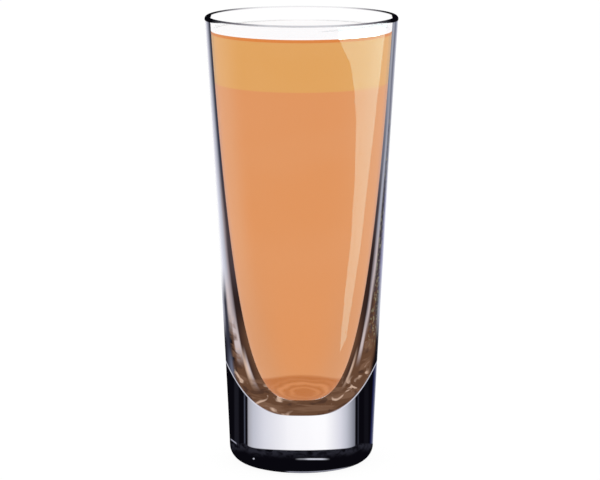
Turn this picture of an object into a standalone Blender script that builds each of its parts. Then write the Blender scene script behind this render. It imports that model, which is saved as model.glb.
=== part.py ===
"""Whisky grog in its glass: a tall, heavy-bottomed long-drink tumbler with three layers of drink.

Metres, +Z up. The origin is the centre of the foot, on the surface that the glass stands on, and
every piece is turned round the Z axis.
"""

import math

import bpy

COLLECTION = "whisky_grog"

# The glass outside: a foot, a wall that flares slowly towards the rim, and a round heel
GLASS_HEIGHT = 0.155
FOOT_RADIUS = 0.0248
RIM_RADIUS = 0.0330
FLARE_POWER = 1.15
HEEL_RADIUS = 0.0053
LIP_RADIUS = 0.00095

# The glass inside: height above the bowl's floor grows with a power of the radius, so the bowl is
# round at its bottom and the wall thins from the heavy base up to the lip
BOWL_FLOOR = 0.0215
BOWL_POWER = 3.6

# The drink: the height at which each layer ends, and how far it creeps up the wall at its edge
ORANGE_TOP = 0.1323
GOLDEN_TOP = 0.1489
SURFACE_HEIGHT = 0.1501
MENISCUS_RADIUS = 0.0008
MENISCUS_END = math.radians(-20)

# Pieces that touch keep this gap
GAP = 0.0003

# How finely the round pieces are faceted
SCREW_STEPS = 64
BOWL_STEPS = 20
FLARE_STEPS = 6
HEEL_STEPS = 6
LIP_STEPS = 6
MENISCUS_STEPS = 4
WELD_DISTANCE = 1e-6

# Colour, roughness and transmission of each piece
GLASS_FINISH = ((0.93, 0.94, 0.97), 0.02, 1.0)
ORANGE_FINISH = ((0.76, 0.31, 0.11), 0.25, 0.0)
GOLDEN_FINISH = ((0.76, 0.39, 0.14), 0.25, 0.0)
SURFACE_FINISH = ((0.72, 0.28, 0.09), 0.12, 0.0)

LIP_HEIGHT = GLASS_HEIGHT - LIP_RADIUS


def outer_radius(height):
    """Radius of the outer wall at a height above the foot."""
    return FOOT_RADIUS + (RIM_RADIUS - FOOT_RADIUS) * (height / GLASS_HEIGHT) ** FLARE_POWER


def bowl_radius(height, inset=0.0):
    """Radius of the bowl at a height, or of a shape that lies inside it by the inset."""
    top_radius = outer_radius(LIP_HEIGHT) - 2 * LIP_RADIUS - inset
    rise = (height - BOWL_FLOOR - inset) / (LIP_HEIGHT - BOWL_FLOOR)
    return top_radius * max(rise, 0.0) ** (1 / BOWL_POWER)


def bowl_wall(low, high, steps, inset=0.0):
    """Points up the bowl from one height to another, closer together towards the bowl's floor."""
    floor = BOWL_FLOOR + inset
    start = math.sqrt(low - floor)
    stop = math.sqrt(high - floor)
    heights = [floor + (start + (stop - start) * i / steps) ** 2 for i in range(steps + 1)]
    return [(bowl_radius(height, inset), height) for height in heights]


def arc(centre, radius, start, stop, steps):
    """Points along an arc in the profile's plane, angles in radians from +X."""
    angles = [start + (stop - start) * i / steps for i in range(steps + 1)]
    return [(centre[0] + radius * math.cos(a), centre[1] + radius * math.sin(a)) for a in angles]


def glass_profile():
    """From the middle of the bowl's floor up the inside, over the lip and down to the foot."""
    inside = bowl_wall(BOWL_FLOOR, LIP_HEIGHT, BOWL_STEPS)
    lip_centre = (outer_radius(LIP_HEIGHT) - LIP_RADIUS, LIP_HEIGHT)
    lip = arc(lip_centre, LIP_RADIUS, math.pi, 0, LIP_STEPS)
    drop = (LIP_HEIGHT - HEEL_RADIUS) / FLARE_STEPS
    heights = [LIP_HEIGHT - drop * i for i in range(1, FLARE_STEPS)]
    outside = [(outer_radius(height), height) for height in heights]
    heel_centre = (outer_radius(HEEL_RADIUS) - HEEL_RADIUS, HEEL_RADIUS)
    heel = arc(heel_centre, HEEL_RADIUS, 0, -math.pi / 2, HEEL_STEPS)
    return inside[:-1] + lip + outside + heel + [(0.0, 0.0)]


def layer_sides(low, high, steps):
    """The side of a layer of drink, from its top edge down to its bottom edge."""
    return bowl_wall(low, high, steps, GAP)[::-1]


def orange_profile():
    """The deep lower layer, down to the round bottom of the bowl."""
    sides = layer_sides(BOWL_FLOOR + GAP, ORANGE_TOP, BOWL_STEPS - 4)
    return [(0.0, ORANGE_TOP)] + sides


def golden_profile():
    """The golden layer that floats on the lower one."""
    sides = layer_sides(ORANGE_TOP + GAP, GOLDEN_TOP, 3)
    return [(0.0, GOLDEN_TOP)] + sides + [(0.0, ORANGE_TOP + GAP)]


def surface_profile():
    """The thin top layer, whose open surface creeps up the wall at its edge."""
    low = GOLDEN_TOP + GAP
    creep_height = SURFACE_HEIGHT + MENISCUS_RADIUS
    wall = bowl_radius(creep_height, GAP)
    centre = (wall - MENISCUS_RADIUS, creep_height)
    creep = arc(centre, MENISCUS_RADIUS, -math.pi / 2, MENISCUS_END, MENISCUS_STEPS)
    sides = layer_sides(low, creep[-1][1], 2)
    return [(0.0, SURFACE_HEIGHT)] + creep + sides + [(0.0, low)]


def finish(name, colour, roughness, transmission):
    """A material with one Principled BSDF."""
    material = bpy.data.materials.new(name)
    material.use_nodes = True
    shader = material.node_tree.nodes["Principled BSDF"]
    shader.inputs["Base Color"].default_value = (*colour, 1.0)
    shader.inputs["Roughness"].default_value = roughness
    shader.inputs["Metallic"].default_value = 0.0
    shader.inputs["Transmission Weight"].default_value = transmission
    material.diffuse_color = (*colour, 1.0)
    return material


def turned(name, profile, look, collection):
    """An object that turns a profile, given as radius and height pairs, round the Z axis."""
    points = [(radius, 0.0, height) for radius, height in profile]
    edges = [(i, i + 1) for i in range(len(points) - 1)]
    mesh = bpy.data.meshes.new(name)
    mesh.from_pydata(points, edges, [])
    mesh.materials.append(finish(f"{name}_finish", *look))
    piece = bpy.data.objects.new(name, mesh)
    collection.objects.link(piece)
    screw = piece.modifiers.new("turn", "SCREW")
    screw.axis = "Z"
    screw.angle = math.tau
    screw.steps = SCREW_STEPS
    screw.render_steps = SCREW_STEPS
    screw.use_merge_vertices = True
    screw.merge_threshold = WELD_DISTANCE
    screw.use_smooth_shade = True
    return piece


def main():
    """Clears the scene and models the glass and the three layers of drink."""
    for leftover in list(bpy.data.objects):
        bpy.data.objects.remove(leftover)
    collection = bpy.data.collections.new(COLLECTION)
    bpy.context.scene.collection.children.link(collection)
    turned("glass", glass_profile(), GLASS_FINISH, collection)
    turned("orange_layer", orange_profile(), ORANGE_FINISH, collection)
    turned("golden_layer", golden_profile(), GOLDEN_FINISH, collection)
    turned("surface_layer", surface_profile(), SURFACE_FINISH, collection)


main()
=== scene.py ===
"""Looks of a whisky grog in its glass: a tall, heavy-bottomed tumbler with three layers of drink.

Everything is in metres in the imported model's frame, with +Z up the glass's axis. Materials measure
in millimetres on Object coordinates, so that their heights read like the glass's own sizes.
"""

import logging
import math
from collections.abc import Sequence
from dataclasses import dataclass
from enum import Enum

import bpy
from bpy.types import ColorRamp, ID, Material, Node, NodeSocket, NodeTree, Object
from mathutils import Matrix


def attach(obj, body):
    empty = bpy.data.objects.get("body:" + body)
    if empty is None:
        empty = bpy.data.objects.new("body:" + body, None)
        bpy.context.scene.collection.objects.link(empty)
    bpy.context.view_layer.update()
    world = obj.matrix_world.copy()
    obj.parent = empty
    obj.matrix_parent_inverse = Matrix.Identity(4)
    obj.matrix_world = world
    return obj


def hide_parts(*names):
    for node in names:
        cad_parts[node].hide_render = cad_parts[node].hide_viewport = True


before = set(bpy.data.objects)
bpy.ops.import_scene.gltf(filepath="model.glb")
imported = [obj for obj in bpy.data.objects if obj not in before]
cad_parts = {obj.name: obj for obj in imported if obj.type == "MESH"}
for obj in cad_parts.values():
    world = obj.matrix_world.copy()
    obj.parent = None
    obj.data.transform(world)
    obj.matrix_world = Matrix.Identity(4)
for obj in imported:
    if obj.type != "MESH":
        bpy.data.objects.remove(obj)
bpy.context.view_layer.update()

log = logging.getLogger("whisky_grog")

BODY = "root"
MM = 1000.0

Point = tuple[float, float]
Colour = tuple[float, float, float]
Stop = tuple[float, Colour, float]
Span = tuple[float, float]
AnyColour = Colour | NodeSocket

# Where the photograph was taken from, its tilt below level, and how many pixels across a metre at
# one metre away fills, in a picture 600 pixels wide
VIEW_DISTANCE = 0.9671
VIEW_HEIGHT = 0.2578
VIEW_TILT = math.radians(10.566)
VIEW_AXIS_SHIFT = -0.0005
PIXELS_PER_RADIAN = 2855.2
IMAGE_WIDTH = 600


def srgb(red: int, green: int, blue: int) -> Colour:
    """Turns a screen colour, 0 to 255, into the linear colour that a shader takes.

    Args:
        red: Red of the screen colour.
        green: Green of the screen colour.
        blue: Blue of the screen colour.

    Returns:
        The linear colour, 0 to 1.
    """
    shares = (channel / 255 for channel in (red, green, blue))
    return tuple(s / 12.92 if s <= 0.04045 else ((s + 0.055) / 1.055) ** 2.4 for s in shares)


def opaque(*stops: tuple[float, Colour], end: float = 1.0) -> tuple[Stop, ...]:
    """A ramp's stops, all opaque but perhaps the last.

    Args:
        stops: Places and their colours.
        end: The last stop's opacity.

    Returns:
        The stops.
    """
    place, colour = stops[-1]
    return (*((*stop, 1.0) for stop in stops[:-1]), (place, colour, end))


# Colours of painted light and shade: what thick clear glass shows where it bends the light
# Black of painted shade: the glass's black sides, heel, lip crescents and darkest lines
SHADE_BLACK = srgb(9, 8, 14)
# Dark grey of painted shade: a mottle in the black heel and a line in the black sides
SHADE_GREY = srgb(38, 38, 47)
NIGHT_BLUE = srgb(36, 40, 84)
GRAPHITE = srgb(60, 60, 66)
ASH = srgb(116, 112, 122)
SILVER = srgb(208, 208, 213)
SLATE = srgb(56, 57, 70)
SMOKE = srgb(108, 109, 123)
DOVE = srgb(162, 164, 178)
STEEL = srgb(104, 108, 128)
BLUE_EDGE = srgb(150, 150, 184)
LAVENDER = srgb(190, 191, 210)
PALE_LAVENDER = srgb(222, 223, 236)
PEWTER = srgb(128, 130, 142)
STONE = srgb(160, 159, 168)
CLOUD = srgb(184, 186, 199)
HAZE = srgb(211, 211, 223)
MIST = srgb(242, 241, 247)
FROST = srgb(251, 250, 254)
ROSE_GREY = srgb(202, 187, 187)
MAUVE = srgb(156, 145, 151)
CREAM = srgb(214, 183, 162)
TAN = srgb(128, 96, 76)
UMBER = srgb(100, 70, 52)
DARK_UMBER = srgb(62, 42, 36)
SABLE = srgb(70, 60, 64)
PEAT = srgb(46, 33, 32)
OLIVE = srgb(152, 150, 124)
WHITE = (1.0, 1.0, 1.0)
CLEAR_TINT = (0.996, 0.995, 0.999)

# Lines of sight that fall more steeply than this slope are taken to bend as much as it, and the
# most that a line of sight may lean for its place beside the axis to be worked out
STEEPEST_SLOPE = 0.45
STEEPEST_LEAN = 0.98

# Where the glass's front begins and is full, in millimetres along Y
FRONT = (0.0, -6.0)


class Socket:
    """A number in a node tree, on which Python's operators add Math nodes."""

    def __init__(self, tree: "Tree", link: NodeSocket) -> None:
        """Wraps a node's output."""
        self.tree = tree
        self.link = link

    def _maths(self, operation: str, *values: "float | Socket") -> "Socket":
        """Adds one Math node.

        Args:
            operation: The Math node's operation.
            values: The values of its sockets, in order.

        Returns:
            The node's result.
        """
        node = self.tree.node("ShaderNodeMath", dict(enumerate(values)), operation=operation)
        return Socket(self.tree, node.outputs[0])

    def __add__(self, other: "float | Socket") -> "Socket":
        """self + other."""
        return self._maths("ADD", self, other)

    __radd__ = __add__

    def __sub__(self, other: "float | Socket") -> "Socket":
        """self - other."""
        return self._maths("SUBTRACT", self, other)

    def __rsub__(self, other: float) -> "Socket":
        """other - self."""
        return self._maths("SUBTRACT", other, self)

    def __mul__(self, other: "float | Socket") -> "Socket":
        """self * other."""
        return self._maths("MULTIPLY", self, other)

    __rmul__ = __mul__

    def __truediv__(self, other: "float | Socket") -> "Socket":
        """self / other."""
        return self._maths("DIVIDE", self, other)

    def __rtruediv__(self, other: float) -> "Socket":
        """other / self."""
        return self._maths("DIVIDE", other, self)

    def __pow__(self, other: "float | Socket") -> "Socket":
        """self ** other."""
        return self._maths("POWER", self, other)

    def root(self) -> "Socket":
        """The square root."""
        return self._maths("SQRT", self)

    def size(self) -> "Socket":
        """The value without its sign."""
        return self._maths("ABSOLUTE", self)

    def whole(self) -> "Socket":
        """The whole number below."""
        return self._maths("FLOOR", self)

    def wave(self) -> "Socket":
        """A wave from 0 to 1, which repeats after a full turn."""
        return self._maths("SINE", self) * 0.5 + 0.5

    def at_least(self, other: "float | Socket") -> "Socket":
        """The larger of self and other."""
        return self._maths("MAXIMUM", self, other)

    def at_most(self, other: "float | Socket") -> "Socket":
        """The smaller of self and other."""
        return self._maths("MINIMUM", self, other)

    def towards(self, other: "float | Socket", share: "Socket") -> "Socket":
        """This value with a share of another mixed in."""
        return self * (1.0 - share) + other * share

    def rise(self, start: float, stop: float) -> "Socket":
        """A smooth step of this value.

        Args:
            start: The value at which the step is 0.
            stop: The value at which the step is 1, which may be less than start.

        Returns:
            The step, from 0 to 1.
        """
        flipped = stop < start
        low, high = (stop, start) if flipped else (start, stop)
        node = self.tree.node(
            "ShaderNodeMapRange",
            {"Value": self, "From Min": low, "From Max": high},
            interpolation_type="SMOOTHSTEP",
            clamp=True,
        )
        step = Socket(self.tree, node.outputs["Result"])
        return 1.0 - step if flipped else step


class Tree:
    """A node tree and the one way in which nodes are added to it."""

    def __init__(self, tree: NodeTree) -> None:
        """Wraps an empty tree."""
        self.tree = tree

    def node(self, kind: str, sockets: dict | None = None, **settings: object) -> Node:
        """Adds any node.

        Args:
            kind: The node's type.
            sockets: Values or links of its input sockets, by name or number.
            settings: Its properties; stops are a colour ramp's stops.

        Returns:
            The node.
        """
        node = self.tree.nodes.new(kind)
        for key, value in settings.items():
            if key == "stops":
                self._fill_ramp(node.color_ramp, value)
            else:
                setattr(node, key, value)
        for key, value in (sockets or {}).items():
            if isinstance(value, Socket):
                value = value.link
            if isinstance(value, NodeSocket):
                self.tree.links.new(value, node.inputs[key])
            else:
                node.inputs[key].default_value = value
        return node

    @staticmethod
    def _fill_ramp(ramp: ColorRamp, stops: Sequence[Stop]) -> None:
        """Gives a colour ramp its stops, each a place, a colour and an opacity."""
        while len(ramp.elements) < len(stops):
            ramp.elements.new(1.0)
        for element, (place, colour, opacity) in zip(ramp.elements, stops):
            element.position = place
            element.color = (*colour, opacity)


class ShaderTree(Tree):
    """A material's node tree and the few kinds of node that the finishes add to it."""

    def __init__(self, name: str, colour: Colour) -> None:
        """Makes an empty material.

        Args:
            name: The material's name.
            colour: Its colour in a plain viewport.
        """
        self.material = bpy.data.materials.new(name)
        self.material.use_nodes = True
        self.material.diffuse_color = (*colour, 1.0)
        super().__init__(self.material.node_tree)
        self.tree.nodes.clear()

    def place(self) -> tuple[Socket, Socket, Socket]:
        """Object coordinates in millimetres."""
        texture = self.node("ShaderNodeTexCoord")
        split = self.node("ShaderNodeSeparateXYZ", {0: texture.outputs["Object"]})
        return tuple(Socket(self, output) * MM for output in split.outputs)

    def facing(self, normal: NodeSocket | None = None) -> Socket:
        """How squarely the surface is seen, from 0 at its outline to 1 face on.

        Args:
            normal: A direction to take in place of the surface's own.

        Returns:
            The cosine of the angle.
        """
        sockets = {"Blend": 0.5} if normal is None else {"Blend": 0.5, "Normal": normal}
        weight = self.node("ShaderNodeLayerWeight", sockets)
        return 1.0 - Socket(self, weight.outputs["Facing"])

    def outward(self) -> NodeSocket:
        """The level direction straight out from the axis."""
        texture = self.node("ShaderNodeTexCoord")
        flat = self.node(
            "ShaderNodeVectorMath",
            {0: texture.outputs["Object"], 1: (1.0, 1.0, 0.0)},
            operation="MULTIPLY",
        )
        unit = self.node("ShaderNodeVectorMath", {0: flat.outputs[0]}, operation="NORMALIZE")
        return unit.outputs[0]

    def upward(self) -> NodeSocket:
        """The direction straight up."""
        return self.node("ShaderNodeCombineXYZ", {"Z": 1.0}).outputs[0]

    def noise(self, scale: Colour, detail: float, distortion: float) -> Socket:
        """Noise on Object coordinates.

        Args:
            scale: How many features there are to a metre along each axis.
            detail: How many finer octaves are added.
            distortion: How much the noise is swirled.

        Returns:
            The noise, about 0.2 to 0.8.
        """
        texture = self.node("ShaderNodeTexCoord")
        mapping = self.node(
            "ShaderNodeMapping", {"Vector": texture.outputs["Object"], "Scale": scale}
        )
        settings = {"Scale": 1.0, "Detail": detail, "Distortion": distortion}
        noise = self.node("ShaderNodeTexNoise", {"Vector": mapping.outputs[0], **settings})
        return Socket(self, noise.outputs[0])

    def ramp(self, value: Socket, stops: Sequence[Stop]) -> tuple[NodeSocket, Socket]:
        """A colour ramp.

        Args:
            value: What the ramp reads, 0 to 1.
            stops: Places with their colour and opacity.

        Returns:
            The colour and the opacity.
        """
        node = self.node("ShaderNodeValToRGB", {"Fac": value}, stops=stops)
        return node.outputs["Color"], Socket(self, node.outputs["Alpha"])

    def blend(self, share: Socket, first: AnyColour, second: AnyColour) -> NodeSocket:
        """Mixes two colours.

        Args:
            share: How much of the second colour there is.
            first: The first colour.
            second: The second colour.

        Returns:
            The mixed colour.
        """
        first, second = ((*c, 1.0) if isinstance(c, tuple) else c for c in (first, second))
        node = self.node("ShaderNodeMix", {0: share, 6: first, 7: second}, data_type="RGBA")
        return node.outputs[2]

    def mix(self, share: Socket, first: Node, second: Node) -> Node:
        """Mixes two shaders, with this share of the second."""
        return self.node(
            "ShaderNodeMixShader", {0: share, 1: first.outputs[0], 2: second.outputs[0]}
        )

    def finish(self, shader: Node) -> Material:
        """Sends a shader to the material's output and returns the material."""
        self.node("ShaderNodeOutputMaterial", {"Surface": shader.outputs[0]})
        return self.material


class Side(Enum):
    """Which side of the glass a wall's look belongs to, by the sign of X."""

    LEFT = -1
    RIGHT = 1


@dataclass(frozen=True)
class Wall:
    """The glass's own sizes in metres, the same as the solids'."""

    height: float = 0.155
    foot_radius: float = 0.0248
    rim_radius: float = 0.0330
    flare_power: float = 1.15
    heel_radius: float = 0.0053
    lip_radius: float = 0.00095
    bowl_floor: float = 0.0215
    bowl_power: float = 3.6

    @property
    def lip_height(self) -> float:
        """Height of the lip's round."""
        return self.height - self.lip_radius

    @property
    def bowl_top_radius(self) -> float:
        """Radius of the bowl where the lip's round begins."""
        return self.outer_radius(self.lip_height) - 2 * self.lip_radius

    def outer_radius(self, height: float) -> float:
        """Radius of the outer wall at a height."""
        flare = self.rim_radius - self.foot_radius
        return self.foot_radius + flare * (height / self.height) ** self.flare_power

    def bowl_radius(self, height: float) -> float:
        """Radius of the bowl at a height."""
        rise = (height - self.bowl_floor) / (self.lip_height - self.bowl_floor)
        return self.bowl_top_radius * max(rise, 0.0) ** (1 / self.bowl_power)

    def bowl_height(self, radius: float) -> float:
        """Height at which the bowl has a radius."""
        depth = self.lip_height - self.bowl_floor
        return self.bowl_floor + depth * (radius / self.bowl_top_radius) ** self.bowl_power


@dataclass(frozen=True)
class Sight:
    """Where a line of sight that meets the glass passes its axis, in millimetres."""

    along: Socket
    front: Socket
    height: Socket
    aside: Socket
    level: Socket
    slope: Socket
    across: Socket
    radius: Socket

    @classmethod
    def into(cls, tree: ShaderTree, wall: Wall) -> "Sight":
        """Works out the line of sight from how squarely each direction is seen.

        Args:
            tree: The material's tree.
            wall: The glass's sizes.

        Returns:
            The line of sight.
        """
        along, ahead, height = tree.place()
        steep = tree.facing(tree.upward()).at_most(STEEPEST_LEAN)
        level_share = (1.0 - steep * steep).root()
        square = (tree.facing(tree.outward()) / level_share).at_most(1.0)
        aside = (1.0 - square * square).at_least(0.0).root()
        flare = (wall.rim_radius - wall.foot_radius) * MM
        rise = (height / (wall.height * MM)).at_least(0.0)
        radius = rise**wall.flare_power * flare + wall.foot_radius * MM
        slope = (steep / level_share).at_most(STEEPEST_SLOPE)
        level = height - radius * square * slope
        front = ahead.rise(*FRONT)
        return cls(along, front, height, aside, level, slope, radius * aside, radius)


@dataclass(frozen=True)
class WallLook:
    """The painted shade and light that the wall shows at one height, from the drink's edge (0) to
    the glass's outline (1).
    """

    height: float
    left: tuple[Stop, ...]
    right: tuple[Stop, ...]

    def stops(self, side: Side) -> tuple[Stop, ...]:
        """The stops of one side."""
        return self.left if side is Side.LEFT else self.right


@dataclass(frozen=True)
class ClearFinish:
    """Polished clear glass that shows what is behind it, mirrors the light at a slant and has
    painted shade along its lip.
    """

    name: str = "clear_glass_inside"
    mirror_face_on: float = 0.03
    mirror_slant: float = 0.35
    mirror_power: float = 5.0
    # The painted line of shade along the lip
    lip_line: float = 0.4
    lip_low: float = 0.42
    lip_end: float = 0.98
    lip_blur: float = 0.3
    lip_swell: float = 0.8
    lip_sides: Span = (0.4, 0.9)
    lip_colours: tuple[Stop, ...] = opaque(
        (0.0, SILVER), (0.35, SILVER), (0.7, ASH), (0.86, GRAPHITE), (0.93, SHADE_BLACK)
    )

    def clear(self, tree: ShaderTree) -> Node:
        """The glass without any of the dark that thick glass shows.

        Args:
            tree: The material's tree.

        Returns:
            The shader.
        """
        through = tree.node("ShaderNodeBsdfTransparent", {"Color": (*CLEAR_TINT, 1.0)})
        mirror = tree.node("ShaderNodeBsdfGlossy", {"Color": (*WHITE, 1.0), "Roughness": 0.02})
        slant = (1.0 - tree.facing()) ** self.mirror_power
        share = slant * self.mirror_slant + self.mirror_face_on
        return tree.mix(share, through, mirror)

    def painted(self, tree: ShaderTree, colour: NodeSocket) -> Node:
        """The painted shade and painted light of thick glass, in a colour that varies.

        Args:
            tree: The material's tree.
            colour: Its colour.

        Returns:
            The shader.
        """
        return tree.node(
            "ShaderNodeBsdfPrincipled",
            {"Base Color": colour, "Roughness": 0.1, "Specular IOR Level": 0.0},
        )

    def lip(self, tree: ShaderTree, wall: Wall, sight: Sight) -> tuple[NodeSocket, Socket]:
        """The painted shade along the lip's crest, which widens to a painted black crescent at the
        sides.

        Args:
            tree: The material's tree.
            wall: The glass's sizes.
            sight: The line of sight.

        Returns:
            The line's colour and opacity.
        """
        colour, _ = tree.ramp(sight.aside, self.lip_colours)
        crest = (sight.height - wall.lip_height * MM) / (wall.lip_radius * MM)
        end = sight.aside.rise(self.lip_end, 1.0)
        line = (crest + end * self.lip_swell).rise(self.lip_low, self.lip_low + self.lip_blur)
        strength = sight.aside.rise(*self.lip_sides) * (1.0 - self.lip_line) + self.lip_line
        return colour, line * strength

    def build(self, wall: Wall) -> Material:
        """Builds the material.

        Args:
            wall: The glass's sizes.

        Returns:
            The material.
        """
        tree = ShaderTree(self.name, WHITE)
        colour, opacity = self.lip(tree, wall, Sight.into(tree, wall))
        return tree.finish(tree.mix(opacity, self.clear(tree), self.painted(tree, colour)))


@dataclass(frozen=True)
class ThinLight:
    """A thin straight painted highlight in the glass, which fades at its sides and ends, in
    millimetres.
    """

    height: float
    slope: float
    sides: Span
    start: Span
    end: Span
    strength: float = 1.0

    def share(self, along: Socket, height: Socket) -> Socket:
        """How much of the light a place shows.

        Args:
            along: Place from the glass's left to its right.
            height: Height of the place.

        Returns:
            The share, from 0 to the light's strength.
        """
        line = (height - along * self.slope - self.height).size().rise(*self.sides)
        return line * along.rise(*self.start) * along.rise(*self.end) * self.strength


@dataclass(frozen=True)
class MottledLightAndShade:
    """Painted light and shade that one noise lays on a colour, each with its span of noise and its
    strength.
    """

    scale: Colour
    detail: float
    distortion: float
    layers: tuple[tuple[Span, float, Colour], ...]

    def over(self, tree: ShaderTree, area: Socket, colour: AnyColour) -> NodeSocket:
        """Lays the colours over another.

        Args:
            tree: The material's tree.
            area: Where they lie, from 0 to 1.
            colour: What they lie on.

        Returns:
            The colour with them.
        """
        noise = tree.noise(self.scale, self.detail, self.distortion)
        for span, strength, laid in self.layers:
            colour = tree.blend(noise.rise(*span) * area * strength, colour, laid)
        return colour


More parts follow.
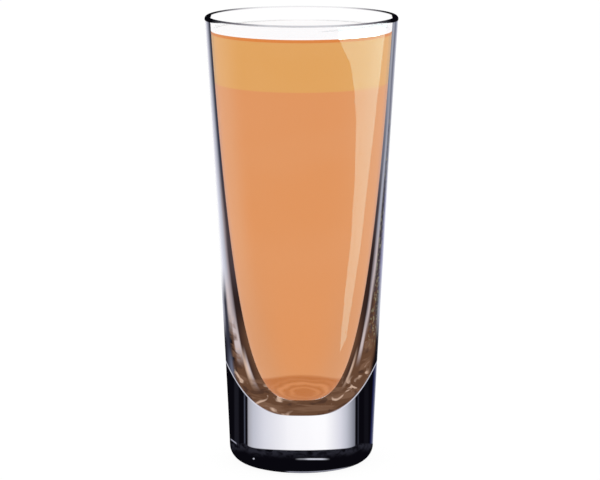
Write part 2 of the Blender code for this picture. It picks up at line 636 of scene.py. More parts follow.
@dataclass(frozen=True)
class OutsideFinish(ClearFinish):
    """The outside of the glass, which also carries painted light and shade for what its thickness
    does to the light.

    Thick clear glass bends the light away near its outline, so painted dark and pale lines lie
    beside the drink, with a painted brown image of the drink low down, painted black sides and a
    black heel of painted shade at the base.
    """

    name: str = "clear_glass_outside"
    lip_line: float = 0.95
    lip_low: float = 0.3
    lip_end: float = 0.78
    side_change: Span = (-6.0, 6.0)

    # The drink's side, as the glass shows it
    edge_blur: float = 0.13
    edge_reach: float = 0.03
    floor_blur: Span = (0.1, -0.1)
    dip: float = 6.4
    dip_power: float = 1.385
    seen_bowl_power: float = 3.085
    seen_bulge: float = 0.267

    # The painted brown image of the drink round the bowl's floor, and the painted bright line under
    # it
    image_floor: float = 16.0
    image_rise: float = 18.3
    image_radius: float = 25.7
    image_power: float = 3.05
    image_blur: Span = (-0.12, 0.12)
    image_line: Span = (0.42, 0.14)
    image_line_aside: Span = (0.3, 0.6)
    image_line_strength: float = 0.75

    # Where the cream curls of painted highlight and darker swirls of painted shade lie in the brown
    # image and where it stays calm, and the painted flecks of light and shade on its right above
    curl_levels: Span = (58.0, 36.0)
    curl_places: Span = (0.8, 0.66)
    calm_levels: Span = (26.0, 30.0)
    calm_places: Span = (0.48, 0.4)
    fleck_top: Span = (128.0, 112.0)
    fleck_foot: Span = (36.0, 48.0)
    fleck_inner: Span = (0.46, 0.6)
    fleck_outer: Span = (0.95, 0.8)
    streaks: MottledLightAndShade = MottledLightAndShade((60.0, 60.0, 420.0), 2.0, 0.7, (((0.48, 0.62), 0.7, TAN),))
    curls: MottledLightAndShade = MottledLightAndShade(
        (135.0, 135.0, 230.0),
        2.0,
        1.1,
        (((0.46, 0.34), 0.6, DARK_UMBER), ((0.57, 0.69), 0.85, CREAM)),
    )
    flecks: MottledLightAndShade = MottledLightAndShade(
        (650.0, 650.0, 800.0),
        2.0,
        0.6,
        (((0.45, 0.35), 0.5, SLATE), ((0.54, 0.64), 0.55, OLIVE)),
    )

    # The painted pale window in the base, the painted black sides beside it and the black heel of
    # painted shade under it
    window_half: float = 18.7
    window_blur: float = 0.3
    window: tuple[Stop, ...] = (
        (0.0, STONE, 1.0),
        (0.05, CLOUD, 0.95),
        (0.155, HAZE, 0.9),
        (0.38, MIST, 0.9),
        (0.6, FROST, 0.8),
        (0.72, FROST, 0.8),
        (0.866, HAZE, 0.95),
        (0.92, CLOUD, 0.95),
        (0.987, PEWTER, 1.0),
    )
    # A painted bluish edge of light on the black side at the right
    rim_from: float = 0.9
    right_rim: tuple[Stop, ...] = opaque(
        (0.5, SHADE_BLACK), (0.7, NIGHT_BLUE), (0.88, STEEL), (1.0, LAVENDER)
    )
    # Painted dark and bluish lines in the black sides
    side_lines: tuple[tuple[float, Span, float, Colour], ...] = (
        (22.6, (1.1, 0.4), 0.5, SHADE_GREY),
        (19.8, (0.35, 0.1), 0.4, STEEL),
    )
    side_lines_less: float = 0.65
    heel_level: float = 2.7
    heel_most: float = 10.2
    heel_fade: float = 0.6
    heel_blur: Span = (-0.15, 0.15)
    heel_sag: float = 1.05
    heel_corner: float = 0.7
    heel_corner_power: float = 14.0
    heel_reach: float = 1.05
    # Painted shade: a grey mottle in the black heel, and how deep under the heel's top it lies
    heel_shade_depths: Span = (3.4, 1.2)
    heel_shade_mottle: MottledLightAndShade = MottledLightAndShade((420.0, 420.0, 700.0), 3.0, 0.4, (((0.3, 0.62), 1.0, SHADE_GREY),))

    # Painted highlights in the heel and on the left side, and a painted reflection of the rim under
    # it
    dot_place: Point = (-16.7, -0.3)
    dot_edge: Span = (0.18, 0.02)
    dot_strength: float = 0.65
    dash: ThinLight = ThinLight(-0.5, 0.0, (0.45, 0.1), (-1.4, 2.08), (10.2, 6.72), 0.85)
    foot_line: ThinLight = ThinLight(0.95, 0.0, (0.45, 0.15), (-7.0, -3.0), (20.0, 14.0), 0.6)
    left_side_glint: ThinLight = ThinLight(-12.9, -0.8, (0.35, 0.1), (-25.0, -24.4), (-22.4, -23.0), 0.6)
    rim_image: ThinLight = ThinLight(152.65, 0.055, (0.32, 0.08), (5.0, 10.0), (29.0, 26.0))
    rim_image_opacity: float = 0.4

    looks: tuple[WallLook, ...] = (
        WallLook(
            140.0,
            (
                *opaque((0.0, SLATE), (0.2, SLATE), (0.5, DOVE)),
                (0.75, HAZE, 0.95),
                (1.0, WHITE, 0.0),
            ),
            opaque(
                (0.0, PEWTER), (0.26, DOVE), (0.44, PEWTER), (0.58, STEEL), (0.72, DOVE),
                (0.86, CLOUD), (1.0, WHITE), end=0.1,
            ),
        ),
        WallLook(
            108.0,
            opaque(
                (0.0, SLATE), (0.2, SLATE), (0.32, SMOKE), (0.45, DOVE), (0.75, HAZE),
                (1.0, WHITE), end=0.1,
            ),
            opaque(
                (0.0, SMOKE), (0.24, SMOKE), (0.38, DOVE), (0.48, DOVE), (0.58, SMOKE),
                (0.7, SMOKE), (0.84, DOVE), (1.0, WHITE), end=0.2,
            ),
        ),
        WallLook(
            88.0,
            opaque(
                (0.0, SABLE), (0.2, SABLE), (0.42, MAUVE), (0.54, CLOUD), (0.78, PALE_LAVENDER),
                (1.0, WHITE), end=0.1,
            ),
            opaque(
                (0.0, SABLE), (0.2, SABLE), (0.36, DOVE), (0.47, DOVE), (0.58, SABLE),
                (0.7, SLATE), (0.86, BLUE_EDGE), (1.0, PALE_LAVENDER), end=0.6,
            ),
        ),
        WallLook(
            70.0,
            opaque(
                (0.0, SABLE), (0.3, SABLE), (0.44, MAUVE), (0.58, CLOUD), (0.8, PALE_LAVENDER),
                (1.0, WHITE), end=0.3,
            ),
            opaque(
                (0.0, PEAT), (0.22, PEAT), (0.36, MAUVE), (0.46, ROSE_GREY), (0.58, SABLE),
                (0.72, SABLE), (0.88, BLUE_EDGE), (1.0, LAVENDER), end=0.8,
            ),
        ),
        WallLook(
            55.0,
            opaque(
                (0.0, PEAT), (0.3, PEAT), (0.43, MAUVE), (0.6, ROSE_GREY), (0.68, ROSE_GREY),
                (0.78, SLATE), (0.86, SLATE), (1.0, LAVENDER), end=0.8,
            ),
            opaque(
                (0.0, DARK_UMBER), (0.26, PEAT), (0.34, MAUVE), (0.4, ROSE_GREY),
                (0.5, DARK_UMBER), (0.68, UMBER), (0.82, GRAPHITE), (1.0, LAVENDER), end=0.8,
            ),
        ),
        WallLook(
            41.0,
            opaque(
                (0.0, UMBER), (0.32, DARK_UMBER), (0.38, ROSE_GREY), (0.56, ROSE_GREY),
                (0.62, UMBER), (0.7, SHADE_BLACK), (0.84, SLATE), (1.0, SHADE_BLACK),
            ),
            opaque(
                (0.0, UMBER), (0.26, DARK_UMBER), (0.31, ROSE_GREY), (0.36, ROSE_GREY),
                (0.42, UMBER), (0.84, UMBER), (0.92, SHADE_BLACK), (1.0, SLATE),
            ),
        ),
        WallLook(
            32.0,
            opaque(
                (0.0, UMBER), (0.2, DARK_UMBER), (0.25, ROSE_GREY), (0.34, CREAM), (0.4, UMBER),
                (0.62, UMBER), (0.7, SHADE_BLACK), (0.8, STEEL), (0.92, SLATE), (1.0, SHADE_BLACK),
            ),
            opaque(
                (0.0, UMBER), (0.14, DARK_UMBER), (0.18, CREAM), (0.24, UMBER), (0.78, UMBER),
                (0.86, SHADE_BLACK), (1.0, SHADE_BLACK),
            ),
        ),
        WallLook(23.0, opaque((0.0, UMBER), (1.0, UMBER)), opaque((0.0, UMBER), (1.0, UMBER))),
    )

    def build(self, wall: Wall) -> Material:
        """Builds the material.

        Args:
            wall: The glass's sizes.

        Returns:
            The material.
        """
        tree = ShaderTree(self.name, WHITE)
        sight = Sight.into(tree, wall)
        right = sight.along.rise(*self.side_change)
        colour, opacity, place = self._beside_drink(tree, wall, sight, right)
        colour = self._mottled_light_and_shade(tree, sight, place, right, colour)

        # Below the painted image of the drink: a painted pale window between painted black sides,
        # over a black heel of painted shade
        image = self.image_rise * (sight.across / self.image_radius) ** self.image_power
        below = image + self.image_floor - self._dip(sight) - sight.level
        is_base = below.rise(*self.image_blur)
        base_colour, base_opacity = self._base(tree, sight, right)
        colour = tree.blend(is_base, colour, base_colour)
        opacity = opacity.towards(base_opacity, is_base)
        # A painted highlight line under the painted image of the drink
        bright_line = below.size().rise(*self.image_line) * sight.aside.rise(*self.image_line_aside)
        colour = tree.blend(bright_line * self.image_line_strength, colour, PALE_LAVENDER)

        # A faint painted reflection of the rim, low on its right
        rim_image = self.rim_image.share(sight.along, sight.height)
        colour = tree.blend(rim_image, colour, SILVER)
        opacity = opacity.at_least(rim_image * self.rim_image_opacity)

        # Painted shade along the lip's crest
        lip_colour, lip = self.lip(tree, wall, sight)
        colour = tree.blend(lip, colour, lip_colour)
        opacity = opacity.at_least(lip)

        geometry = tree.node("ShaderNodeNewGeometry")
        near = 1.0 - Socket(tree, geometry.outputs["Backfacing"])
        return tree.finish(tree.mix(opacity * near, self.clear(tree), self.painted(tree, colour)))

    def _dip(self, sight: Sight) -> Socket:
        """How much lower the drink's round bottom looks from above than from its own height."""
        return self.dip * sight.slope**self.dip_power

    def _wall_colour(
        self, tree: ShaderTree, across: Socket, level: Socket, side: Side
    ) -> tuple[NodeSocket, Socket]:
        """Joins the painted shade and light of one side, from the rim down.

        Args:
            tree: The material's tree.
            across: Place across the wall, from the drink's edge (0) to the outline (1).
            level: Height in millimetres.
            side: Which side's looks are taken.

        Returns:
            The colour and the opacity.
        """
        colour, opacity = tree.ramp(across, self.looks[0].stops(side))
        for above, look in zip(self.looks, self.looks[1:]):
            share = level.rise(above.height, look.height)
            lower_colour, lower_opacity = tree.ramp(across, look.stops(side))
            colour = tree.blend(share, colour, lower_colour)
            opacity = opacity.towards(lower_opacity, share)
        return colour, opacity

    def _beside_drink(
        self, tree: ShaderTree, wall: Wall, sight: Sight, right: Socket
    ) -> tuple[NodeSocket, Socket, Socket]:
        """The painted shade and light of thick glass beside and below the drink.

        Args:
            tree: The material's tree.
            wall: The glass's sizes.
            sight: The line of sight.
            right: 0 on the glass's left and 1 on its right.

        Returns:
            The colour, the opacity and the place across the wall, from the drink (0) to the
            outline (1).
        """
        floor = wall.bowl_floor * MM - self._dip(sight)
        depth = (wall.lip_height - wall.bowl_floor) * MM
        rise = ((sight.level - floor) / depth).at_least(0.0)
        spread = rise ** (1 / self.seen_bowl_power)
        seen = spread + (spread - rise.root()) * self.seen_bulge
        bowl = seen * (wall.bowl_top_radius * MM)
        place = (sight.across - bowl) / (sight.radius - bowl)
        place = place.at_least(0.0).at_most(1.0)
        left_colour, left_opacity = self._wall_colour(tree, place, sight.level, Side.LEFT)
        right_colour, right_opacity = self._wall_colour(tree, place, sight.level, Side.RIGHT)
        colour = tree.blend(right, left_colour, right_colour)
        beside = (sight.across - bowl + self.edge_reach).rise(-self.edge_blur, self.edge_blur)
        beside = beside.at_least((sight.level - floor).rise(*self.floor_blur))
        return colour, left_opacity.towards(right_opacity, right) * beside, place

    def _mottled_light_and_shade(
        self,
        tree: ShaderTree,
        sight: Sight,
        place: Socket,
        right: Socket,
        colour: NodeSocket,
    ) -> NodeSocket:
        """Cream curls of painted highlight and darker swirls of painted shade in the brown image,
        and painted flecks above it.

        Args:
            tree: The material's tree.
            sight: The line of sight.
            place: Place across the wall, from the drink (0) to the outline (1).
            right: 0 on the glass's left and 1 on its right.
            colour: The wall's colour.

        Returns:
            The colour with them.
        """
        calm = sight.level.rise(*self.calm_levels) * place.rise(*self.calm_places)
        low = sight.level.rise(*self.curl_levels) * place.rise(*self.curl_places) * (1.0 - calm)
        colour = self.curls.over(tree, low, self.streaks.over(tree, low, colour))
        outer = place.rise(*self.fleck_inner) * place.rise(*self.fleck_outer) * right
        outer = outer * sight.level.rise(*self.fleck_top) * sight.level.rise(*self.fleck_foot)
        return self.flecks.over(tree, outer, colour)

    def _base(self, tree: ShaderTree, sight: Sight, right: Socket) -> tuple[NodeSocket, Socket]:
        """The heavy base: a painted pale window between painted black sides, over a black heel of
        painted shade.

        Args:
            tree: The material's tree.
            sight: The line of sight.
            right: 0 on the glass's left and 1 on its right.

        Returns:
            The colour and the opacity.
        """
        beside = sight.across * (right * 2.0 - 1.0)
        edge = self.window_half
        colour, opacity = tree.ramp(beside / (2 * edge) + 0.5, self.window)
        # Painted shade: the black sides beside the window
        black = sight.across.rise(edge - self.window_blur, edge + self.window_blur)
        sides, _ = tree.ramp((sight.aside - self.rim_from) / (1 - self.rim_from), self.right_rim)
        sides = tree.blend(right, SHADE_BLACK, sides)
        # Painted dark and bluish lines in the black sides
        less = 1.0 - right * self.side_lines_less
        for across, span, strength, tint in self.side_lines:
            line = (sight.across - across).size().rise(*span)
            sides = tree.blend(line * less * strength, sides, tint)
        colour = tree.blend(black, colour, sides)

        share = (sight.across / edge).at_most(self.heel_reach)
        corner = share**self.heel_corner_power * self.heel_corner
        under = share * share * self.heel_sag + corner + self.heel_level - sight.level
        # Painted shade: a grey mottle over the heel's black
        heel_colour = self.heel_shade_mottle.over(tree, under.rise(*self.heel_shade_depths), SHADE_BLACK)
        from_dot = (beside - self.dot_place[0]) ** 2.0 + (sight.level - self.dot_place[1]) ** 2.0
        # Painted highlights in the heel, on the glass's front
        lights = (
            (self.dash.share(beside, sight.level), PALE_LAVENDER),
            (from_dot.rise(*self.dot_edge) * self.dot_strength, PALE_LAVENDER),
            (self.foot_line.share(beside, sight.height), LAVENDER),
        )
        for light, tint in lights:
            heel_colour = tree.blend(light * sight.front, heel_colour, tint)
        # The heel's black is painted shade
        heel_top = sight.height.rise(self.heel_most + self.heel_fade, self.heel_most)
        heel = under.rise(*self.heel_blur) * heel_top
        colour = tree.blend(heel, colour, heel_colour)
        # A painted highlight on the left side
        colour = tree.blend(self.left_side_glint.share(beside, sight.level), colour, LAVENDER)
        return colour, opacity.towards(1.0, black).at_least(heel)


def behind_glass(red: int, green: int, blue: int) -> Colour:
    """The colour of drink that looks like a screen colour through the glass and its mirror share.

    Args:
        red: Red of the screen colour.
        green: Green of the screen colour.
        blue: Blue of the screen colour.

    Returns:
        The linear colour, 0 to 1.
    """
    mirror = ClearFinish.mirror_face_on
    return tuple(max((channel - mirror) / (1 - mirror), 0.0) for channel in srgb(red, green, blue))


@dataclass(frozen=True)
class DrinkFinish:
    """Cloudy drink: one soft colour, with a painted sheen that pales it a little towards its sides
    and painted shade at its very edge.
    """

    name: str
    colour: Colour
    # The paler colour serves the cloud and the painted sheen; the edge colour is painted shade
    pale: Colour
    edge: Colour
    cloud_scale: Colour = (18.0, 18.0, 30.0)
    cloud_span: Span = (0.35, 0.7)
    cloud_strength: float = 0.22
    pale_facing: Span = (0.76, 0.45)
    pale_strength: float = 0.8
    edge_facing: Span = (0.3, 0.16)

    def tint(self, tree: ShaderTree) -> NodeSocket:
        """The drink's colour, with painted sheen and painted shade at its edge.

        Args:
            tree: The material's tree.

        Returns:
            The colour.
        """
        facing = tree.facing()
        cloud = tree.noise(self.cloud_scale, 2.0, 0.4).rise(*self.cloud_span)
        colour = tree.blend(cloud * self.cloud_strength, self.colour, self.pale)
        # Painted sheen: paler where the drink is seen at a slant
        paler = facing.rise(*self.pale_facing) * self.pale_strength
        colour = tree.blend(paler, colour, self.pale)
        # Painted shade along the drink's very edge
        return tree.blend(facing.rise(*self.edge_facing), colour, self.edge)

    def body(self, tree: ShaderTree) -> Node:
        """The drink's shader."""
        return tree.node(
            "ShaderNodeBsdfPrincipled",
            {"Base Color": self.tint(tree), "Roughness": 0.45, "Specular IOR Level": 0.05},
        )

    def build(self) -> Material:
        """Builds the material."""
        tree = ShaderTree(self.name, self.colour)
        return tree.finish(self.body(tree))


@dataclass(frozen=True)
class DeepDrinkFinish(DrinkFinish):
    """The lower layer, duller towards the bowl's floor, with a deeper puddle of ripples in it."""

    dull: Colour = WHITE
    puddle: Colour = WHITE
    ripple: Colour = WHITE
    dull_levels: Span = (85.0, 36.0)
    dull_facing: Span = (0.95, 0.6)
    puddle_top: float = 33.0
    puddle_sag: float = 0.02
    ripple_height: float = 26.4
    ripple_rise: float = 4.1
    ripple_half: float = 9.0
    ripple_along: float = 1.0
    ripple_front: float = -12.4
    ripple_depth: float = 10.0
    ripple_turns: float = 2.4
    ripple_stir: float = 0.55
    ripple_stir_scale: Colour = (110.0, 110.0, 260.0)
    ripple_reach: Span = (1.5, 1.0)
    ripple_calm: Span = (0.2, 0.75)
    ripple_levels: Span = (22.0, 26.5)
    ripple_strength: float = 0.85
    dull_strength: float = 0.85
    puddle_blur: Span = (-0.9, 0.7)
    puddle_line: Span = (0.7, 0.1)
    puddle_line_strength: float = 0.35

    def tint(self, tree: ShaderTree) -> NodeSocket:
        """The drink's colour, with the puddle at the bottom of the bowl.

        Args:
            tree: The material's tree.

        Returns:
            The colour.
        """
        colour = super().tint(tree)
        along, ahead, height = tree.place()
        low = height.rise(*self.dull_levels) * tree.facing().rise(*self.dull_facing)
        colour = tree.blend(low * self.dull_strength, colour, self.dull)

        depth = self.puddle_top - height - along * along * self.puddle_sag
        rings = (
            ((along - self.ripple_along) / self.ripple_half) ** 2.0
            + ((ahead - self.ripple_front) / self.ripple_depth) ** 2.0
            + ((height - self.ripple_height) / self.ripple_rise) ** 2.0
        )
        stir = tree.noise(self.ripple_stir_scale, 1.0, 0.5)
        out = rings.root() + (stir - 0.5) * self.ripple_stir
        ring = (out * (self.ripple_turns * math.tau)).wave()
        ring = ring * out.rise(*self.ripple_reach) * out.rise(*self.ripple_calm)
        ring = ring * height.rise(*self.ripple_levels)
        puddle = tree.blend(ring * self.ripple_strength, self.puddle, self.ripple)
        colour = tree.blend(depth.rise(*self.puddle_blur), colour, puddle)
        line = depth.size().rise(*self.puddle_line) * self.puddle_line_strength
        return tree.blend(line, colour, self.puddle)


@dataclass(frozen=True)
class OpenSurfaceFinish(DrinkFinish):
    """The top layer, whose open surface and whose film on the wall mirror the light."""

    level: float = 0.0
    mirror_facing: Span = (0.6, 0.3)
    mirror_levels: Span = (-0.1, -0.02)
    mirror_most: float = 0.97
    film_levels: Span = (0.0, 0.004)

    def build(self) -> Material:
        """Builds the material."""
        tree = ShaderTree(self.name, self.colour)
        _, _, height = tree.place()
        above = height - self.level * MM
        mirror = tree.node("ShaderNodeBsdfGlossy", {"Color": (*WHITE, 1.0), "Roughness": 0.03})
        share = tree.facing().rise(*self.mirror_facing) * above.rise(*self.mirror_levels)
        share = (share * self.mirror_most).at_least(above.rise(*self.film_levels))
        return tree.finish(tree.mix(share, self.body(tree), mirror))


def show(name: str, data: ID) -> Object:
    """Puts new data into the scene as an object at the origin and returns the object."""
    thing = bpy.data.objects.new(name, data)
    bpy.context.scene.collection.objects.link(thing)
    return thing


class Lathe(Tree):
    """A Geometry Nodes tree that turns a profile round the Z axis."""

    WELD_DISTANCE = 1e-6
    CREASE_ANGLE = math.radians(35)
    LEAST_INWARD = -1e-7

    def __init__(self) -> None:
        """Builds the tree."""
        super().__init__(bpy.data.node_groups.new("turned_round", "GeometryNodeTree"))
        face = self.tree.interface
        face.new_socket("Profile", in_out="INPUT", socket_type="NodeSocketGeometry")
        self.inputs = {
            name: face.new_socket(name, in_out="INPUT", socket_type=kind)
            for name, kind in (
                ("Steps", "NodeSocketInt"),
                ("Weld Distance", "NodeSocketFloat"),
                ("Crease Angle", "NodeSocketFloat"),
                ("Outside", "NodeSocketMaterial"),
                ("Inside", "NodeSocketMaterial"),
            )
        }
        face.new_socket("Turned", in_out="OUTPUT", socket_type="NodeSocketGeometry")
        self._build()

    def _vector(self, operation: str, *values: AnyColour) -> Node:
        """Adds a Vector Math node."""
        return self.node("ShaderNodeVectorMath", dict(enumerate(values)), operation=operation)

    def _less(self, value: NodeSocket, limit: float | NodeSocket) -> NodeSocket:
        """Whether a value is less than a limit."""
        sockets = {0: value, 1: limit}
        return self.node("FunctionNodeCompare", sockets, operation="LESS_THAN").outputs[0]

    def _build(self) -> None:
        """Adds the nodes: a grid whose rows are the profile's points, bent into a round."""
        entry = self.node("NodeGroupInput").outputs
        steps = Socket(self, entry["Steps"])
        index = Socket(self, self.node("GeometryNodeInputIndex").outputs[0])
        columns = steps + 1.0
        row = ((index + 0.5) / columns).whole()
        turn = (index - row * columns) * math.tau / steps
        count = self.node("GeometryNodeAttributeDomainSize", {0: entry["Profile"]})
        grid = self.node(
            "GeometryNodeMeshGrid",
            {"Vertices X": count.outputs["Point Count"], "Vertices Y": columns},
        )
        position = self.node("GeometryNodeInputPosition").outputs[0]
        point = self.node(
            "GeometryNodeSampleIndex",
            {"Geometry": entry["Profile"], "Value": position, "Index": row},
            data_type="FLOAT_VECTOR",
            domain="POINT",
        )
        rotated = self.node(
            "ShaderNodeVectorRotate",
            {"Vector": point.outputs[0], "Angle": turn},
            rotation_type="Z_AXIS",
        )
        bent = self.node(
            "GeometryNodeSetPosition", {0: grid.outputs["Mesh"], "Position": rotated.outputs[0]}
        )
        weld = {"Distance": entry["Weld Distance"]}
        welded = self.node("GeometryNodeMergeByDistance", {0: bent.outputs[0], **weld})
        angle = self.node("GeometryNodeInputMeshEdgeAngle").outputs["Unsigned Angle"]
        soft = self.node("GeometryNodeSetShadeSmooth", {0: welded.outputs[0]}, domain="FACE")
        smooth = self.node(
            "GeometryNodeSetShadeSmooth",
            {0: soft.outputs[0], "Shade Smooth": self._less(angle, entry["Crease Angle"])},
            domain="EDGE",
        )
        normal = self.node("GeometryNodeInputNormal").outputs[0]
        flat = self._vector("MULTIPLY", position, (1.0, 1.0, 0.0))
        outward = self._vector("DOT_PRODUCT", flat.outputs[0], normal).outputs["Value"]
        realised = self.node("GeometryNodeRealizeInstances", {0: smooth.outputs[0]})
        outside = self.node(
            "GeometryNodeSetMaterial", {0: realised.outputs[0], "Material": entry["Outside"]}
        )
        inside = self.node(
            "GeometryNodeSetMaterial",
            {
                "Geometry": outside.outputs[0],
                "Selection": self._less(outward, self.LEAST_INWARD),
                "Material": entry["Inside"],
            },
        )
        self.node("NodeGroupOutput", {0: inside.outputs[0]})

    def turn(
        self,
        name: str,
        profile: list[Point],
        steps: int,
        outside: Material,
        inside: Material,
    ) -> Object:
        """Turns a profile into a closed piece at the origin.

        Args:
            name: The piece's name.
            profile: Radius and height pairs, from the top of the axis to its foot.
            steps: How many steps the round has.
            outside: The material of faces that look away from the axis.
            inside: The material of faces that look towards it.

        Returns:
            The piece.
        """
        outline = bpy.data.meshes.new(f"{name}_profile")
        points = [(radius, 0.0, height) for radius, height in profile]
        outline.from_pydata(points, [(i, i + 1) for i in range(len(points) - 1)], [])
        blank = show(f"{name}_blank", outline)
        modifier = blank.modifiers.new("turned", "NODES")
        modifier.node_group = self.tree
        values = {
            "Steps": steps,
            "Weld Distance": self.WELD_DISTANCE,
            "Crease Angle": self.CREASE_ANGLE,
            "Outside": outside,
            "Inside": inside,
        }
        for key, value in values.items():
            modifier[self.inputs[key].identifier] = value
        graph = bpy.context.evaluated_depsgraph_get()
        mesh = bpy.data.meshes.new_from_object(blank.evaluated_get(graph), depsgraph=graph)
        mesh.name = name
        blank.modifiers.remove(modifier)
        bpy.data.objects.remove(blank)
        return show(name, mesh)


def arc(centre: Point, radius: float, start: float, stop: float, steps: int) -> list[Point]:
    """Points along an arc in the profile's plane.

    Args:
        centre: The arc's centre.
        radius: Its radius.
        start: The angle of its first point, in radians from +X.
        stop: The angle of its last point.
        steps: How many steps it has.

    Returns:
        The points.
    """
    angles = [start + (stop - start) * i / steps for i in range(steps + 1)]
    return [(centre[0] + radius * math.cos(a), centre[1] + radius * math.sin(a)) for a in angles]


@dataclass
class Tumbler:
    """The glass: one turned piece with a rounded lip, a flared wall and a thick, rounded base."""

    wall: Wall
    lathe: Lathe
    round_steps: int = 160
    bowl_steps: int = 60
    flare_steps: int = 40
    heel_steps: int = 12
    lip_steps: int = 16

    def profile(self) -> list[Point]:
        """From the middle of the bowl's floor up the inside, over the lip and down to the foot.

        Returns:
            The points.
        """
        wall = self.wall
        radii = [wall.bowl_top_radius * i / self.bowl_steps for i in range(self.bowl_steps)]
        inside = [(radius, wall.bowl_height(radius)) for radius in radii]
        lip_centre = (wall.outer_radius(wall.lip_height) - wall.lip_radius, wall.lip_height)
        lip = arc(lip_centre, wall.lip_radius, math.pi, 0, self.lip_steps)
        drop = (wall.lip_height - wall.heel_radius) / self.flare_steps
        heights = [wall.lip_height - drop * i for i in range(1, self.flare_steps)]
        outside = [(wall.outer_radius(height), height) for height in heights]
        heel_x = wall.outer_radius(wall.heel_radius) - wall.heel_radius
        heel = arc((heel_x, wall.heel_radius), wall.heel_radius, 0, -math.pi / 2, self.heel_steps)
        return inside + lip + outside + heel + [(0.0, 0.0)]

    def make(self) -> Object:
        """Makes the glass in place of its solid.

        Returns:
            The piece.
        """
        outside = OutsideFinish().build(self.wall)
        inside = ClearFinish().build(self.wall)
        profile = self.profile()
        piece = self.lathe.turn("clear_tumbler", profile, self.round_steps, outside, inside)
        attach(piece, BODY)
        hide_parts("glass")
        return piece


@dataclass
class Drink:
    """The three layers of drink, which reach just into the wall so that no air shows round them."""

    wall: Wall
    lathe: Lathe
    orange_top: float = 0.1323
    golden_top: float = 0.1489
    surface: float = 0.1501
    gap: float = 0.0003
    reach: float = 0.00006
    meniscus: float = 0.0008
    meniscus_end: float = math.radians(-20)
    round_steps: int = 160
    side_steps: int = 48
    golden_steps: int = 8
    surface_steps: int = 4
    meniscus_steps: int = 8

    def radius(self, height: float) -> float:
        """Radius of the drink's side at a height, just inside the wall."""
        return self.wall.bowl_radius(height) + self.reach

    def side(self, high: float, low: float, steps: int) -> list[Point]:
        """Points down the drink's side from one height to another.

        Args:
            high: Height of the first point.
            low: Height of the last point.
            steps: How many steps there are.

        Returns:
            The points.
        """
        heights = [high + (low - high) * i / steps for i in range(steps + 1)]
        return [(self.radius(height), height) for height in heights]

    def orange_profile(self) -> list[Point]:
        """The deep lower layer, down to the round bottom of the bowl."""
        top = self.orange_top + self.gap / 2
        top_radius = self.wall.bowl_radius(top)
        radii = [top_radius * (1 - i / self.side_steps) for i in range(self.side_steps)]
        sides = [(radius + self.reach, self.wall.bowl_height(radius)) for radius in radii]
        return [(0.0, top)] + sides + [(0.0, self.wall.bowl_floor - self.reach)]

    def golden_profile(self) -> list[Point]:
        """The golden layer that floats on the lower one."""
        low = self.orange_top + self.gap / 2
        high = self.golden_top + self.gap / 2
        return [(0.0, high)] + self.side(high, low, self.golden_steps) + [(0.0, low)]

    def surface_profile(self) -> list[Point]:
        """The thin top layer, whose open surface creeps up the wall at its edge."""
        low = self.golden_top + self.gap / 2
        creep_height = self.surface + self.meniscus
        edge = self.radius(creep_height)
        centre = (edge - self.meniscus, creep_height)
        creep = arc(centre, self.meniscus, -math.pi / 2, self.meniscus_end, self.meniscus_steps)
        side = self.side(creep[-1][1], low, self.surface_steps)
        return [(0.0, self.surface)] + creep + side + [(0.0, low)]

    def make(self) -> list[Object]:
        """Makes the three layers in place of their solids.

        Returns:
            The pieces.
        """
        layers = (
            (
                "orange_drink_body",
                "orange_layer",
                "orange_drink",
                self.orange_profile(),
                DeepDrinkFinish(
                    "peach_orange_drink",
                    colour=behind_glass(226, 151, 95),
                    pale=behind_glass(228, 163, 116),
                    edge=behind_glass(212, 149, 112),
                    dull=behind_glass(217, 152, 105),
                    puddle=behind_glass(194, 119, 67),
                    ripple=behind_glass(216, 144, 92),
                ),
            ),
            (
                "golden_drink_body",
                "golden_layer",
                "golden_drink",
                self.golden_profile(),
                DrinkFinish(
                    "golden_drink_finish",
                    colour=behind_glass(226, 165, 95),
                    pale=behind_glass(230, 174, 113),
                    edge=behind_glass(208, 158, 104),
                ),
            ),
            (
                "surface_drink_body",
                "surface_layer",
                "surface_drink",
                self.surface_profile(),
                OpenSurfaceFinish(
                    "orange_surface_finish",
                    colour=behind_glass(224, 134, 66),
                    pale=behind_glass(224, 144, 84),
                    edge=behind_glass(210, 132, 82),
                    level=self.surface,
                ),
            ),
        )
        pieces = []
        for name, node, slot, profile, finish in layers:
            material = finish.build()
            piece = self.lathe.turn(name, profile, self.round_steps, material, material)
            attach(piece, BODY)
            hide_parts(node)
            pieces.append(piece)
        return pieces


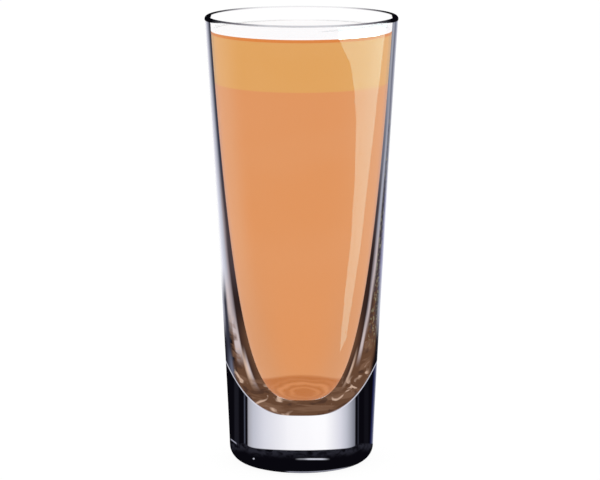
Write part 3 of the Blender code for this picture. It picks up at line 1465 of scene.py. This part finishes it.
@dataclass
class Studio:
    """A white world, a white floor, a soft box and the camera of the photograph."""

    sensor_width: float = 36.0
    floor_half: float = 3.0
    floor_shade: float = 0.08
    floor_glow: float = 0.94
    soft_box_x: float = 0.1
    soft_box_tint: Colour = (0.56, 1.0, 0.93)
    soft_box_strength: float = 5.8
    soft_box_rows: tuple[tuple[float, float, float], ...] = (
        (0.011, -0.0738, -0.0730),
        (0.019, -0.0705, -0.0535),
        (0.033, -0.0635, -0.0400),
        (0.057, -0.0498, -0.0195),
        (0.080, -0.0455, -0.0080),
        (0.102, -0.0487, 0.0040),
        (0.1125, -0.0580, 0.0090),
        (0.1205, -0.0730, 0.0135),
        (0.1228, -0.1196, 0.0150),
        (0.150, -0.1250, 0.0310),
    )

    def camera(self) -> Object:
        """Makes the camera where the photograph was taken from.

        Returns:
            The camera.
        """
        data = bpy.data.cameras.new("camera")
        data.sensor_width = self.sensor_width
        data.lens = PIXELS_PER_RADIAN * self.sensor_width / IMAGE_WIDTH
        data.clip_start = 0.05
        data.clip_end = 30.0
        camera = show("camera", data)
        camera.location = (VIEW_AXIS_SHIFT, -VIEW_DISTANCE, VIEW_HEIGHT)
        camera.rotation_euler = (math.pi / 2 - VIEW_TILT, 0.0, 0.0)
        bpy.context.scene.camera = camera
        return camera

    def world(self) -> None:
        """Lights everything from a white world, as a white tent does."""
        world = bpy.data.worlds.new("white_tent")
        world.use_nodes = True
        background = world.node_tree.nodes["Background"]
        background.inputs["Color"].default_value = (*WHITE, 1.0)
        background.inputs["Strength"].default_value = 1.0
        bpy.context.scene.world = world
        bpy.context.scene.view_settings.view_transform = "Standard"
        bpy.context.scene.view_settings.look = "None"

    def floor(self) -> Object:
        """Makes the floor, a wide white sheet that glows a little to match the world.

        Returns:
            The floor.
        """
        mesh = bpy.data.meshes.new("floor")
        half = self.floor_half
        corners = [(-half, -half, 0.0), (half, -half, 0.0), (half, half, 0.0), (-half, half, 0.0)]
        mesh.from_pydata(corners, [], [(0, 1, 2, 3)])
        tree = ShaderTree("white_floor", WHITE)
        paper = tree.node(
            "ShaderNodeBsdfPrincipled",
            {
                "Base Color": (self.floor_shade, self.floor_shade, self.floor_shade, 1.0),
                "Roughness": 0.9,
                "Specular IOR Level": 0.0,
                "Emission Color": (*WHITE, 1.0),
                "Emission Strength": self.floor_glow,
            },
        )
        mesh.materials.append(tree.finish(paper))
        floor = show("floor", mesh)
        return floor

    def soft_box(self) -> Object:
        """Makes the tall soft box on the right, which only reflections show.

        Each of its rows is a height and the places along Y of its two edges.

        Returns:
            The soft box.
        """
        mesh = bpy.data.meshes.new("soft_box")
        rows = self.soft_box_rows
        points = [(self.soft_box_x, y, height) for height, *ends in rows for y in ends]
        starts = range(0, len(points) - 2, 2)
        mesh.from_pydata(points, [], [(i, i + 1, i + 3, i + 2) for i in starts])
        tree = ShaderTree("soft_box_glow", self.soft_box_tint)
        glow = tree.node(
            "ShaderNodeEmission",
            {"Color": (*self.soft_box_tint, 1.0), "Strength": self.soft_box_strength},
        )
        mesh.materials.append(tree.finish(glow))
        box = show("soft_box", mesh)
        for ray in ("camera", "diffuse", "transmission", "volume_scatter", "shadow"):
            setattr(box, f"visible_{ray}", False)
        return box


def main() -> None:
    """Builds the studio, the glass and the drink."""
    logging.basicConfig(level=logging.INFO, format="%(message)s")
    studio = Studio()
    studio.camera()
    studio.world()
    studio.floor()
    studio.soft_box()
    wall = Wall()
    lathe = Lathe()
    pieces = [Tumbler(wall, lathe).make(), *Drink(wall, lathe).make()]
    for piece in pieces:
        log.info("%s: %d faces", piece.name, len(piece.data.polygons))


if __name__ == "__main__":
    main()
